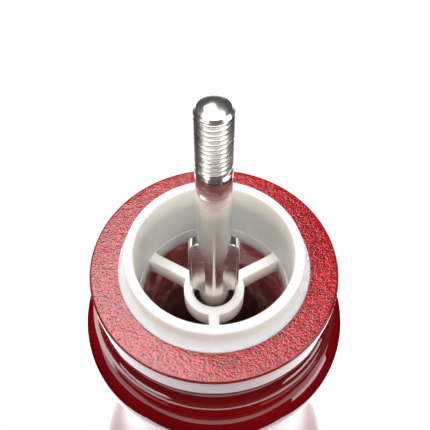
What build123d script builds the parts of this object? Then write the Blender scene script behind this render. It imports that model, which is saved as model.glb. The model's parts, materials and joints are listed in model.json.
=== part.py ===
"""Pepper mill body with the head lifted off: turned and lacquered wood, a plastic filling collar,
a threaded drive shaft, and the burr mechanism that the shaft turns.

Millimetres, +Z up along the mill's axis, origin at the centre of the foot's resting face.
Every piece is a solid of its own, written to parts/NODE.step.
"""
from build123d import *
import math
import os

# ---- clearances ------------------------------------------------------------------------------
RUNNING_GAP = 0.05        # radial play of the shaft in its bush and washers
FACE_GAP = 0.05           # axial play between a turning face and a still one
STOP_GAP = 0.10           # shaft clip above the bush that stops it
DRIVE_GAP = 0.04          # square of the shaft in the square of the burr
SLIP_GAP = 0.10           # housing in the wooden bore, and washers around the shaft

# ---- wooden body -------------------------------------------------------------------------------
BODY_HEIGHT = 118.0       # resting face to the flat top face
TOP_RADIUS = 19.4         # flat top face and the band below it
TOP_EDGE_ROUND = 0.6
BAND_HEIGHT = 3.8         # top face to the lower edge of the plain band
BEAD_HEIGHT = 1.2         # fine groove and bead below the band
BEAD_DEPTH = 0.35
NECK_CUT = 1.9            # how far the neck goes in from the band
NECK_DEPTH = 7.5          # top face to the narrowest place of the neck
NECK_FOOT_DEPTH = 10.2    # top face to the steps at the foot of the neck
NECK_FOOT_OUT = 0.1       # how far the foot of the neck stands out from the band
STEP = 0.4                # the two fine steps between neck and bulge
BULGE_OUT = 2.8           # how far the bulge stands out from the band
BULGE_DEPTH = 16.3        # top face to the widest place of the bulge
WAIST_WALL = 4.2
WAIST_DEPTH = 42.0        # top face to the middle of the waist
FLARE_RADIUS = 29.4       # widest place of the flared foot
FLARE_HEIGHT = 22.0
FLARE_MID_SHARE = 0.57    # place of the flare's middle between waist and foot
PLINTH_OUT = 0.6          # how far the plinth stands out from the flare
PLINTH_HEIGHT = 12.0
PLINTH_EDGE_ROUND = 1.4
RECESS_MARGIN = 0.7       # room around the flange in the hollow under the foot
RECESS_DEPTH = 4.0
RECESS_ROUND = 0.8

# ---- filling collar ----------------------------------------------------------------------------
COLLAR_RADIUS = 13.75     # outside of the standing rim, which centres the head
COLLAR_HEIGHT = 4.1       # rim above the top face
COLLAR_WALL = 1.45
COLLAR_RIM_ROUND = 0.55
COVE_WIDTH = 1.2          # foot of the cove beyond the rim
FLANGE_EDGE = 0.3
COVE_TOP = 2.0            # where the cove runs out into the rim
FLANGE_LET_IN = 0.5       # how deep the flange is let into the top face
SKIRT_WALL = 0.9
SKIRT_DEPTH = 10.8
SPIDER_DEPTH = 7.4        # top face down to the top of hub and spokes
HUB_PLAY = 1.0            # room around the shaft
HUB_WALL = 1.5
SPOKE_COUNT = 3
SPOKE_WIDTH = 1.7
SPOKE_FILLET = 1.1

# ---- drive shaft -------------------------------------------------------------------------------
SHAFT_RADIUS = 2.5
SHAFT_REACH = 34.4        # tip above the top face
THREAD_LENGTH = 9.4
THREAD_PITCH = 0.8
THREAD_RELIEF = 0.05      # thread below the shank, so that a close sleeve passes
THREAD_DEPTH = 0.46
THREAD_CREST = 0.1
THREAD_SUNK = 0.12        # how far the ridge is buried in the core
THREAD_RUNOUT = 0.03      # the ridge stops this far inside the ends of its core
TIP_DOME = 0.55
TIP_CHAMFER = 0.35
UNDERCUT_WIDTH = 0.8
UNDERCUT_DEPTH = 0.55
SHANK_CHAMFER = 0.3
WING_REST = 0.4           # how far each wing reaches over the hub
WING_THICKNESS = 1.7
WING_TOP = 6.9            # wings above the top face
WING_DEPTH = 6.85         # wings below the top face
WING_CORNER = 2.0
WING_RIB_WIDTH = 2.8      # round rib left standing between the coined faces
WING_TAPER = 3.0          # length over which the shank narrows to the rib
TURNED_LINES = (3.6, 4.0) # below the top of the shank
TURNED_LINE_DEPTH = 0.06
TURNED_LINE_WIDTH = 0.12

# ---- grinding mechanism ------------------------------------------------------------------------
HOUSING_WALL = 3.4
FLANGE_THICKNESS = 2.4
FLANGE_WIDTH = 4.9
BURR_OUTER_RADIUS = 13.5
BURR_BOTTOM = 6.0
BURR_HEIGHT = 10.0
RING_WALL = 1.9           # ring burr at its mouth
RING_TAPER = 2.8          # how much its inside narrows upwards
GRIND_GAP = 0.7           # between the burrs at the bottom, coarsest setting
GRIND_TRAVEL = 1.0        # lift of the shaft from coarse to fine
CONE_HEIGHT = 13.0
CONE_TOP_RADIUS = 4.6
RING_TEETH = 24
CONE_TEETH = 24
CONE_CHANNELS = 7
TOOTH_DEPTH = 0.6
TOOTH_SLANT = 14.0        # degrees
CHANNEL_DEPTH = 1.6
CHANNEL_SLANT = 24.0      # degrees
CIRCLIP_THICKNESS = 1.0
CIRCLIP_BITE = 0.7        # how deep the ring sits in its groove
CIRCLIP_LIP = 1.0         # how far it stands in under the ring burr
SQUARE = 3.8              # across the flats of the shaft's driving end
BRIDGE_THICKNESS = 2.5
BRIDGE_LEDGE = 1.4
BRIDGE_SPOKE_WIDTH = 2.2
BRIDGE_HUB_RADIUS = 5.2
BUSH_WALL = 1.05
BUSH_FLANGE = 0.9
BUSH_FLANGE_THICKNESS = 0.5
CLIP_THICKNESS = 0.6
CLIP_BITE = 0.4           # depth of its groove in the shaft
CLIP_LIP = 1.6            # how far it stands out from the shaft
SPRING_MEAN_RADIUS = 4.5
SPRING_WIRE_RADIUS = 0.55
SPRING_TURNS = 5.0
SPRING_LENGTH = 9.85
SEAT_THICKNESS = 0.8
SEAT_LIP = 0.5
THRUST_THICKNESS = 1.0
THRUST_RADIUS = 5.4
HOUSING_SCREW_COUNT = 3
HOUSING_SCREW_RADIUS = 1.4
HOUSING_SCREW_LENGTH = 10.0
HOUSING_SCREW_HEAD_RADIUS = 2.2
HOUSING_SCREW_HEAD_HEIGHT = 1.3
BURR_SCREW_RADIUS = 1.25
BURR_SCREW_LENGTH = 6.0
BURR_SCREW_HEAD_RADIUS = 2.6
BURR_SCREW_HEAD_HEIGHT = 1.5
BURR_WASHER_THICKNESS = 0.8
BURR_POCKET_RADIUS = 3.9
BURR_POCKET_DEPTH = 2.8
DRIVE_RECESS_WIDTH = 0.7

# ---- places worked out from the sizes above ------------------------------------------------------
TOP = BODY_HEIGHT
COLLAR_BORE = COLLAR_RADIUS - COLLAR_WALL
RESERVOIR_RADIUS = COLLAR_BORE
SKIRT_RADIUS = COLLAR_BORE + SKIRT_WALL
FLANGE_RADIUS = COLLAR_RADIUS + COVE_WIDTH
HUB_BORE_RADIUS = SHAFT_RADIUS + HUB_PLAY
HUB_RADIUS = HUB_BORE_RADIUS + HUB_WALL
FLANGE_SEAT = TOP - FLANGE_LET_IN
SPIDER_TOP = TOP - SPIDER_DEPTH
SKIRT_BOTTOM = TOP - SKIRT_DEPTH
WAIST_RADIUS = RESERVOIR_RADIUS + WAIST_WALL
NECK_RADIUS = TOP_RADIUS - NECK_CUT
NECK_FOOT_RADIUS = TOP_RADIUS + NECK_FOOT_OUT
BULGE_RADIUS = TOP_RADIUS + BULGE_OUT
PLINTH_RADIUS = FLARE_RADIUS + PLINTH_OUT

WING_SPAN = 2 * (HUB_BORE_RADIUS + WING_REST)
WING_BOTTOM = TOP - WING_DEPTH
SHAFT_TIP = TOP + SHAFT_REACH
THREAD_MAJOR_RADIUS = SHAFT_RADIUS - THREAD_RELIEF
THREAD_TOP = SHAFT_TIP - TIP_DOME - TIP_CHAMFER
THREAD_BOTTOM = THREAD_TOP - THREAD_LENGTH
THREAD_CORE_RADIUS = THREAD_MAJOR_RADIUS - THREAD_DEPTH
SHANK_TOP = THREAD_BOTTOM - UNDERCUT_WIDTH

BURR_TOP = BURR_BOTTOM + BURR_HEIGHT
RING_MOUTH_RADIUS = BURR_OUTER_RADIUS - RING_WALL
RING_THROAT_RADIUS = RING_MOUTH_RADIUS - RING_TAPER
CONE_MOUTH_RADIUS = RING_MOUTH_RADIUS - GRIND_GAP
CONE_TOP = BURR_BOTTOM + CONE_HEIGHT
THRUST_BOTTOM = CONE_TOP + FACE_GAP
SEAT_BOTTOM = THRUST_BOTTOM + THRUST_THICKNESS
SPRING_BOTTOM = SEAT_BOTTOM + SEAT_THICKNESS
SPRING_TOP = SPRING_BOTTOM + SPRING_LENGTH
BRIDGE_BOTTOM = SPRING_TOP + SEAT_THICKNESS
HOUSING_TOP = BRIDGE_BOTTOM + BRIDGE_THICKNESS
HOUSING_BORE = BURR_OUTER_RADIUS - BRIDGE_LEDGE
HOUSING_RADIUS = BURR_OUTER_RADIUS + HOUSING_WALL
MECHANISM_RADIUS = HOUSING_RADIUS + SLIP_GAP
HOUSING_FLANGE_RADIUS = HOUSING_RADIUS + FLANGE_WIDTH
RECESS_RADIUS = HOUSING_FLANGE_RADIUS + RECESS_MARGIN
FLANGE_BOTTOM = RECESS_DEPTH - FLANGE_THICKNESS
HOUSING_SCREW_CIRCLE = (HOUSING_RADIUS + HOUSING_FLANGE_RADIUS) / 2
BUSH_RADIUS = SHAFT_RADIUS + RUNNING_GAP + BUSH_WALL
CLIP_BOTTOM = HOUSING_TOP + BUSH_FLANGE_THICKNESS + STOP_GAP
CLIP_TOP = CLIP_BOTTOM + CLIP_THICKNESS
BURR_CEILING = BURR_BOTTOM + BURR_POCKET_DEPTH
SHAFT_BOTTOM = BURR_CEILING + SLIP_GAP


def turned(*outline):
    """Solid turned about Z from a closed outline of edges drawn in the XZ plane."""
    edges = [edge for run in outline for edge in run.edges()]
    return revolve(make_face(Wire(edges)), Axis.Z)


def turned_polygon(points):
    """Solid turned about Z from straight runs between (radius, height) points."""
    corners = [(radius, 0, height) for radius, height in points]
    return revolve(make_face(Polyline(*corners, close=True)), Axis.Z)


def ring(outer, inner, bottom, top):
    """Plain round ring or washer."""
    return turned_polygon([(inner, bottom), (outer, bottom), (outer, top), (inner, top)])


def bar(radius, bottom, top):
    """Plain round bar on the axis."""
    return Pos(0, 0, bottom) * Cylinder(radius, top - bottom, align=(Align.CENTER, Align.CENTER, Align.MIN))


def around(count, shape, start=0.0):
    """Copies of a shape evenly spaced about Z."""
    return [Rot(0, 0, start + 360 / count * index) * shape for index in range(count)]


def wood_body():
    """Turned body: top band, fine bead, neck, bulge, long waist and flared foot."""
    band_foot = TOP - BAND_HEIGHT
    bead_foot = band_foot - BEAD_HEIGHT
    neck_foot = TOP - NECK_FOOT_DEPTH
    step_radius = NECK_FOOT_RADIUS + STEP
    bulge_start = (step_radius + STEP, 0, neck_foot - 2 * STEP)
    bulge_middle = TOP - BULGE_DEPTH
    bulge_rise = bulge_start[2] - bulge_middle
    bulge_end = (bulge_start[0], 0, bulge_middle - bulge_rise)
    groove_radius = TOP_RADIUS - BEAD_DEPTH
    edge = TOP_EDGE_ROUND
    corner = math.sqrt(0.5)

    top_edge = ThreePointArc(
        (TOP_RADIUS - edge, 0, TOP),
        (TOP_RADIUS - edge + edge * corner, 0, TOP - edge + edge * corner),
        (TOP_RADIUS, 0, TOP - edge),
    )
    groove_foot = band_foot - BEAD_HEIGHT / 4
    band = Polyline((TOP_RADIUS, 0, TOP - edge), (TOP_RADIUS, 0, band_foot), (groove_radius, 0, groove_foot))
    bead = ThreePointArc(
        (groove_radius, 0, groove_foot),
        (TOP_RADIUS, 0, (groove_foot + bead_foot) / 2),
        (groove_radius - BEAD_DEPTH / 2, 0, bead_foot),
    )
    neck = ThreePointArc(
        (groove_radius - BEAD_DEPTH / 2, 0, bead_foot),
        (NECK_RADIUS, 0, TOP - NECK_DEPTH),
        (NECK_FOOT_RADIUS, 0, neck_foot),
    )
    steps = Polyline(
        (NECK_FOOT_RADIUS, 0, neck_foot),
        (step_radius, 0, neck_foot),
        (step_radius, 0, neck_foot - STEP),
        (step_radius + STEP, 0, neck_foot - STEP),
        bulge_start,
    )
    bulge = ThreePointArc(bulge_start, (BULGE_RADIUS, 0, bulge_middle), bulge_end)
    bulge_slope = bulge % 1
    waist_height = TOP - WAIST_DEPTH
    flare_mid_radius = (WAIST_RADIUS + FLARE_RADIUS) / 2
    flare_mid_height = waist_height + (FLARE_HEIGHT - waist_height) * FLARE_MID_SHARE
    waist = Spline(
        bulge_end,
        (WAIST_RADIUS, 0, waist_height),
        (flare_mid_radius, 0, flare_mid_height),
        (FLARE_RADIUS, 0, FLARE_HEIGHT),
        tangents=(bulge_slope, (0, 0, -1)),
    )
    plinth = Polyline(
        (FLARE_RADIUS, 0, FLARE_HEIGHT),
        (FLARE_RADIUS - STEP, 0, PLINTH_HEIGHT + STEP),
        (PLINTH_RADIUS - 2 * STEP, 0, PLINTH_HEIGHT),
        (PLINTH_RADIUS, 0, PLINTH_HEIGHT - 2 * STEP),
        (PLINTH_RADIUS, 0, PLINTH_EDGE_ROUND),
    )
    foot_edge = ThreePointArc(
        (PLINTH_RADIUS, 0, PLINTH_EDGE_ROUND),
        (PLINTH_RADIUS - PLINTH_EDGE_ROUND * (1 - corner), 0, PLINTH_EDGE_ROUND * (1 - corner)),
        (PLINTH_RADIUS - PLINTH_EDGE_ROUND, 0, 0),
    )
    inside = Polyline(
        (PLINTH_RADIUS - PLINTH_EDGE_ROUND, 0, 0),
        (RECESS_RADIUS + RECESS_ROUND, 0, 0),
        (RECESS_RADIUS, 0, RECESS_ROUND),
        (RECESS_RADIUS, 0, RECESS_DEPTH),
        (MECHANISM_RADIUS, 0, RECESS_DEPTH),
        (MECHANISM_RADIUS, 0, HOUSING_TOP),
        (RESERVOIR_RADIUS, 0, HOUSING_TOP),
        (RESERVOIR_RADIUS, 0, SKIRT_BOTTOM),
        (SKIRT_RADIUS, 0, SKIRT_BOTTOM),
        (SKIRT_RADIUS, 0, FLANGE_SEAT),
        (FLANGE_RADIUS, 0, FLANGE_SEAT),
        (FLANGE_RADIUS, 0, TOP),
        (TOP_RADIUS - edge, 0, TOP),
    )
    body = turned(top_edge, band, bead, neck, steps, bulge, waist, plinth, foot_edge, inside)
    pilot = Pos(HOUSING_SCREW_CIRCLE, 0, 0) * bar(
        HOUSING_SCREW_RADIUS, RECESS_DEPTH - 1, FLANGE_BOTTOM + HOUSING_SCREW_LENGTH
    )
    for hole in around(HOUSING_SCREW_COUNT, pilot):
        body -= hole
    return body


def spider(bore, hub_radius, hub_bore, spoke_width, fillet_radius, overlap):
    """Flat plan of a hub, its spokes and the ring they run into, with filleted corners."""
    plan = Circle(bore + overlap) - Circle(bore)
    spoke = Pos(0, -(bore + overlap / 2 + hub_bore) / 2) * Rectangle(
        spoke_width, bore + overlap / 2 - hub_bore
    )
    plan += Circle(hub_radius)
    for copy in around(SPOKE_COUNT, spoke):
        plan += copy
    corners = [v for v in plan.vertices() if abs(math.hypot(v.X, v.Y) - bore) < 0.2]
    corners += [v for v in plan.vertices() if abs(math.hypot(v.X, v.Y) - hub_radius) < 0.2]
    plan = fillet(corners, fillet_radius)
    return plan - Circle(hub_bore)


def filling_collar():
    """One moulding: standing rim with a cove, skirt in the bore, hub and three spokes."""
    rim_top = TOP + COLLAR_HEIGHT
    soft = COLLAR_RIM_ROUND
    corner = math.sqrt(0.5)
    crown_in = ThreePointArc(
        (COLLAR_BORE, 0, rim_top - soft),
        (COLLAR_BORE + soft * (1 - corner), 0, rim_top - soft * (1 - corner)),
        (COLLAR_BORE + soft, 0, rim_top),
    )
    crown_flat = Line((COLLAR_BORE + soft, 0, rim_top), (COLLAR_RADIUS - soft, 0, rim_top))
    crown_out = ThreePointArc(
        (COLLAR_RADIUS - soft, 0, rim_top),
        (COLLAR_RADIUS - soft * (1 - corner), 0, rim_top - soft * (1 - corner)),
        (COLLAR_RADIUS, 0, rim_top - soft),
    )
    wall = Line((COLLAR_RADIUS, 0, rim_top - soft), (COLLAR_RADIUS, 0, TOP + COVE_TOP))
    cove_width = FLANGE_RADIUS - COLLAR_RADIUS
    cove_height = COVE_TOP - FLANGE_EDGE
    cove = ThreePointArc(
        (COLLAR_RADIUS, 0, TOP + COVE_TOP),
        (COLLAR_RADIUS + cove_width * 0.25, 0, TOP + FLANGE_EDGE + cove_height * 0.3),
        (FLANGE_RADIUS, 0, TOP + FLANGE_EDGE),
    )
    below = Polyline(
        (FLANGE_RADIUS, 0, TOP + FLANGE_EDGE),
        (FLANGE_RADIUS, 0, FLANGE_SEAT),
        (SKIRT_RADIUS, 0, FLANGE_SEAT),
        (SKIRT_RADIUS, 0, SKIRT_BOTTOM),
        (COLLAR_BORE, 0, SKIRT_BOTTOM),
        (COLLAR_BORE, 0, rim_top - soft),
    )
    shell = turned(crown_in, crown_flat, crown_out, wall, cove, below)
    plan = spider(COLLAR_BORE, HUB_RADIUS, HUB_BORE_RADIUS, SPOKE_WIDTH, SPOKE_FILLET, SKIRT_WALL / 2)
    return shell + extrude(Pos(0, 0, SKIRT_BOTTOM) * plan, SPIDER_TOP - SKIRT_BOTTOM)


def helical_thread():
    """Ridge of the right-hand thread, wound on the core and trimmed to the core's ends."""
    root = THREAD_CORE_RADIUS - THREAD_SUNK
    foot = THREAD_CREST / 2 + (THREAD_MAJOR_RADIUS - root) * math.tan(math.radians(30))
    height = THREAD_LENGTH + THREAD_PITCH
    low = THREAD_BOTTOM - THREAD_PITCH / 2
    path = Helix(THREAD_PITCH, height, THREAD_CORE_RADIUS, center=(0, 0, low))
    outline = Polyline(
        (root, 0, low - foot),
        (THREAD_MAJOR_RADIUS, 0, low - THREAD_CREST / 2),
        (THREAD_MAJOR_RADIUS, 0, low + THREAD_CREST / 2),
        (root, 0, low + foot),
        close=True,
    )
    ridge = sweep(make_face(outline), path=path, is_frenet=True)
    return ridge & bar(SHAFT_RADIUS, THREAD_BOTTOM + THREAD_RUNOUT, THREAD_TOP - THREAD_RUNOUT)


def wing_pocket():
    """Space coined away beside the rib, in front of one wing, with slanting ends."""
    rib = WING_RIB_WIDTH / 2
    out = SHAFT_RADIUS + SLIP_GAP
    plan = Polyline(
        (rib, 0, WING_BOTTOM + WING_TAPER / 2),
        (out, 0, WING_BOTTOM),
        (out, 0, TOP + WING_TOP),
        (rib, 0, TOP + WING_TOP - WING_TAPER),
        close=True,
    )
    pocket = extrude(make_face(plan), SHAFT_RADIUS, dir=(0, -1, 0))
    return Pos(0, -WING_THICKNESS / 2, 0) * pocket


def turned_lines():
    """Fine lines that the turning tool left below the thread."""
    floor = SHAFT_RADIUS - TURNED_LINE_DEPTH
    lows = [SHANK_TOP - distance for distance in TURNED_LINES]
    return [ring(SHAFT_RADIUS + 1, floor, low, low + TURNED_LINE_WIDTH) for low in lows]


def drive_shaft():
    """Steel shaft: domed thread, undercut, plain shank, coined wings and square lower end."""
    dome_foot = SHAFT_TIP - TIP_DOME
    dome_radius = THREAD_MAJOR_RADIUS - TIP_CHAMFER
    sphere = (dome_radius ** 2 + TIP_DOME ** 2) / (2 * TIP_DOME)
    half = math.asin(dome_radius / sphere) / 2
    dome_mid = (sphere * math.sin(half), 0, SHAFT_TIP - sphere * (1 - math.cos(half)))
    core = THREAD_CORE_RADIUS
    sides = Polyline(
        (0, 0, SHAFT_BOTTOM),
        (SHAFT_RADIUS, 0, SHAFT_BOTTOM),
        (SHAFT_RADIUS, 0, SHANK_TOP - SHANK_CHAMFER),
        (SHAFT_RADIUS - SHANK_CHAMFER, 0, SHANK_TOP),
        (SHAFT_RADIUS - UNDERCUT_DEPTH, 0, SHANK_TOP),
        (SHAFT_RADIUS - UNDERCUT_DEPTH, 0, THREAD_BOTTOM),
        (core, 0, THREAD_BOTTOM),
        (core, 0, THREAD_TOP),
        (THREAD_MAJOR_RADIUS, 0, THREAD_TOP),
        (dome_radius, 0, dome_foot),
    )
    dome = ThreePointArc((dome_radius, 0, dome_foot), dome_mid, (0, 0, SHAFT_TIP))
    axis_line = Line((0, 0, SHAFT_TIP), (0, 0, SHAFT_BOTTOM))
    shaft = turned(sides, dome, axis_line)
    for line in turned_lines():
        shaft -= line
    pocket = wing_pocket()
    for side in (pocket, mirror(pocket, Plane.YZ)):
        shaft -= side
        shaft -= mirror(side, Plane.XZ)
    wing_height = WING_TOP + WING_DEPTH
    outline = RectangleRounded(WING_SPAN, wing_height, WING_CORNER)
    wings = extrude(Plane.XZ * outline, WING_THICKNESS / 2, both=True)
    shaft += Pos(0, 0, WING_BOTTOM + wing_height / 2) * wings
    shaft -= bar(SHAFT_RADIUS + 1, SHAFT_BOTTOM, CONE_TOP) - Box(SQUARE, SQUARE, SHAFT_TIP * 2)
    shaft -= ring(SHAFT_RADIUS + 1, SHAFT_RADIUS - CLIP_BITE, CLIP_BOTTOM, CLIP_TOP)
    shaft -= bar(BURR_SCREW_RADIUS, SHAFT_BOTTOM, BURR_CEILING + BURR_SCREW_LENGTH)
    return shaft + helical_thread()


def slanted_groove(radius, height, depth, lean, slant, length):
    """V-shaped cutter laid along a cone's side; lean follows the cone, slant winds it round."""
    profile = Polygon((depth, 0), (-depth * 2, depth * 2), (-depth * 2, -depth * 2), align=None)
    cutter = extrude(profile, length / 2, both=True)
    return Pos(radius, 0, height) * Rot(slant, 0, 0) * Rot(0, lean, 0) * cutter


def burr_housing():
    """Moulded sleeve that carries the ring burr and the bridge, with a screwed flange."""
    groove_low = BURR_BOTTOM - CIRCLIP_THICKNESS
    groove_radius = BURR_OUTER_RADIUS + CIRCLIP_BITE
    sleeve = turned_polygon([
        (BURR_OUTER_RADIUS, FLANGE_BOTTOM),
        (HOUSING_FLANGE_RADIUS, FLANGE_BOTTOM),
        (HOUSING_FLANGE_RADIUS, RECESS_DEPTH),
        (HOUSING_RADIUS, RECESS_DEPTH),
        (HOUSING_RADIUS, HOUSING_TOP),
        (BURR_OUTER_RADIUS, HOUSING_TOP),
        (BURR_OUTER_RADIUS, BRIDGE_BOTTOM),
        (HOUSING_BORE, BRIDGE_BOTTOM),
        (HOUSING_BORE, BURR_TOP),
        (BURR_OUTER_RADIUS, BURR_TOP),
        (BURR_OUTER_RADIUS, BURR_BOTTOM),
        (groove_radius, BURR_BOTTOM),
        (groove_radius, groove_low),
        (BURR_OUTER_RADIUS, groove_low),
    ])
    hole = Pos(HOUSING_SCREW_CIRCLE, 0, 0) * bar(HOUSING_SCREW_RADIUS + SLIP_GAP, 0, RECESS_DEPTH)
    for opening in around(HOUSING_SCREW_COUNT, hole):
        sleeve -= opening
    return sleeve


def housing_screw():
    """Pan-head wood screw with a cross recess, standing in the first hole."""
    head_low = FLANGE_BOTTOM - HOUSING_SCREW_HEAD_HEIGHT
    shank_top = FLANGE_BOTTOM + HOUSING_SCREW_LENGTH
    screw = turned_polygon([
        (0, head_low),
        (HOUSING_SCREW_HEAD_RADIUS * 0.6, head_low),
        (HOUSING_SCREW_HEAD_RADIUS, head_low + HOUSING_SCREW_HEAD_HEIGHT * 0.55),
        (HOUSING_SCREW_HEAD_RADIUS, FLANGE_BOTTOM),
        (HOUSING_SCREW_RADIUS, FLANGE_BOTTOM),
        (HOUSING_SCREW_RADIUS, shank_top - HOUSING_SCREW_RADIUS),
        (0, shank_top),
    ])
    screw -= cross_recess(HOUSING_SCREW_HEAD_RADIUS, head_low, HOUSING_SCREW_HEAD_HEIGHT * 0.6)
    return Pos(HOUSING_SCREW_CIRCLE, 0, 0) * screw


def cross_recess(head_radius, face, depth):
    """Cross cut into a screw head from below."""
    blade = Pos(0, 0, face) * Box(head_radius * 1.1, DRIVE_RECESS_WIDTH, depth * 2)
    return blade + Rot(0, 0, 90) * blade


def ring_burr():
    """Toothed steel ring that narrows upwards."""
    burr = turned_polygon([
        (RING_MOUTH_RADIUS, BURR_BOTTOM),
        (BURR_OUTER_RADIUS, BURR_BOTTOM),
        (BURR_OUTER_RADIUS, BURR_TOP),
        (RING_THROAT_RADIUS, BURR_TOP),
    ])
    lean = math.degrees(math.atan2(RING_MOUTH_RADIUS - RING_THROAT_RADIUS, BURR_HEIGHT))
    middle = (RING_MOUTH_RADIUS + RING_THROAT_RADIUS) / 2
    cutter = slanted_groove(
        middle, BURR_BOTTOM + BURR_HEIGHT / 2, TOOTH_DEPTH, -lean, TOOTH_SLANT, BURR_HEIGHT * 2
    )
    for tooth in around(RING_TEETH, cutter):
        burr -= tooth
    return burr


def burr_circlip():
    """Sprung ring that keeps the ring burr in its sleeve, open at one side with two eyes."""
    low = BURR_BOTTOM - CIRCLIP_THICKNESS
    outer = BURR_OUTER_RADIUS + CIRCLIP_BITE
    inner = BURR_OUTER_RADIUS - CIRCLIP_LIP
    clip = ring(outer, inner, low, BURR_BOTTOM)
    clip -= Pos(outer, 0, low) * Box(CIRCLIP_LIP * 8, CIRCLIP_LIP * 3, CIRCLIP_THICKNESS * 4)
    eye_radius = CIRCLIP_LIP * 1.1
    for side in (-1, 1):
        spot = Pos(inner + eye_radius * 0.3, side * CIRCLIP_LIP * 2.4, 0)
        clip += spot * bar(eye_radius, low, BURR_BOTTOM)
        clip -= spot * bar(eye_radius * 0.5, low, BURR_BOTTOM)
    return clip & bar(outer, low, BURR_BOTTOM)


def top_bridge():
    """Three-armed bridge on the housing's ledge; it carries the bush and the spring."""
    plan = spider(
        HOUSING_BORE, BRIDGE_HUB_RADIUS, BUSH_RADIUS, BRIDGE_SPOKE_WIDTH, SPOKE_FILLET, BRIDGE_LEDGE
    )
    return extrude(Pos(0, 0, BRIDGE_BOTTOM) * plan, BRIDGE_THICKNESS)


def bridge_bush():
    """Flanged bronze bush that the shaft turns and slides in."""
    bore = SHAFT_RADIUS + RUNNING_GAP
    return turned_polygon([
        (bore, BRIDGE_BOTTOM),
        (BUSH_RADIUS, BRIDGE_BOTTOM),
        (BUSH_RADIUS, HOUSING_TOP),
        (BUSH_RADIUS + BUSH_FLANGE, HOUSING_TOP),
        (BUSH_RADIUS + BUSH_FLANGE, HOUSING_TOP + BUSH_FLANGE_THICKNESS),
        (bore, HOUSING_TOP + BUSH_FLANGE_THICKNESS),
    ])


def shaft_clip():
    """Open ring in the shaft's groove, above the bush, that keeps the shaft from dropping."""
    clip = ring(SHAFT_RADIUS + CLIP_LIP, SHAFT_RADIUS - CLIP_BITE, CLIP_BOTTOM, CLIP_TOP)
    mouth = Pos(0, -SHAFT_RADIUS, CLIP_BOTTOM) * Box(2 * SHAFT_RADIUS, 2 * SHAFT_RADIUS, CLIP_THICKNESS * 3)
    return clip - mouth


def spring_cup(face, direction, bore):
    """Pressed washer with a lip that centres the spring; direction is +1 for a lip upwards."""
    outer = SPRING_MEAN_RADIUS + SPRING_WIRE_RADIUS + SLIP_GAP
    back = face - direction * SEAT_THICKNESS
    tip = face + direction * SEAT_LIP
    return turned_polygon([
        (bore, back),
        (outer + SEAT_LIP, back),
        (outer + SEAT_LIP, tip),
        (outer, tip),
        (outer, face),
        (bore, face),
    ])


def burr_spring():
    """Compression spring with ground ends."""
    room = SPRING_TOP - SPRING_BOTTOM
    rise = room - SPRING_WIRE_RADIUS
    low = SPRING_BOTTOM + SPRING_WIRE_RADIUS / 2
    path = Helix(rise / SPRING_TURNS, rise, SPRING_MEAN_RADIUS, center=(0, 0, low))
    section = Plane(origin=path @ 0, z_dir=path % 0) * Circle(SPRING_WIRE_RADIUS)
    wire = sweep(section, path=path, is_frenet=True)
    return wire & bar(SPRING_MEAN_RADIUS * 2, SPRING_BOTTOM, SPRING_TOP)


def cone_burr():
    """Hardened cone with deep feed channels above and fine teeth below, on the shaft's square."""
    lean = math.degrees(math.atan2(CONE_MOUTH_RADIUS - CONE_TOP_RADIUS, CONE_HEIGHT))
    burr = turned_polygon([
        (0, BURR_BOTTOM),
        (CONE_MOUTH_RADIUS, BURR_BOTTOM),
        (CONE_TOP_RADIUS, CONE_TOP),
        (0, CONE_TOP),
    ])
    slope = (CONE_MOUTH_RADIUS - CONE_TOP_RADIUS) / CONE_HEIGHT
    channel_height = BURR_BOTTOM + CONE_HEIGHT * 0.75
    channel_radius = CONE_TOP_RADIUS + slope * (CONE_TOP - channel_height)
    channel = Rot(0, 0, 180) * slanted_groove(
        -channel_radius, channel_height, CHANNEL_DEPTH * 0.6, lean, -CHANNEL_SLANT, CONE_HEIGHT * 0.8
    )
    tooth_height = BURR_BOTTOM + CONE_HEIGHT * 0.15
    tooth_radius = CONE_TOP_RADIUS + slope * (CONE_TOP - tooth_height)
    tooth = Rot(0, 0, 180) * slanted_groove(
        -tooth_radius, tooth_height, TOOTH_DEPTH * 0.6, lean, -TOOTH_SLANT, CONE_HEIGHT * 0.6
    )
    for cut in around(CONE_CHANNELS, channel) + around(CONE_TEETH, tooth):
        burr -= cut
    side = SQUARE + 2 * DRIVE_GAP
    hole = Box(side, side, CONE_TOP * 2) & bar(SHAFT_RADIUS + DRIVE_GAP, 0, CONE_TOP)
    burr -= hole
    return burr - bar(BURR_POCKET_RADIUS, 0, BURR_CEILING)


def burr_screw():
    """Screw that holds the cone burr on the end of the shaft."""
    head_top = BURR_CEILING - BURR_WASHER_THICKNESS
    head_low = head_top - BURR_SCREW_HEAD_HEIGHT
    screw = turned_polygon([
        (0, head_low),
        (BURR_SCREW_HEAD_RADIUS * 0.75, head_low),
        (BURR_SCREW_HEAD_RADIUS, head_low + BURR_SCREW_HEAD_HEIGHT * 0.5),
        (BURR_SCREW_HEAD_RADIUS, head_top),
        (BURR_SCREW_RADIUS, head_top),
        (BURR_SCREW_RADIUS, BURR_CEILING + BURR_SCREW_LENGTH),
        (0, BURR_CEILING + BURR_SCREW_LENGTH),
    ])
    return screw - cross_recess(BURR_SCREW_HEAD_RADIUS, head_low, BURR_SCREW_HEAD_HEIGHT * 0.6)


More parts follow.
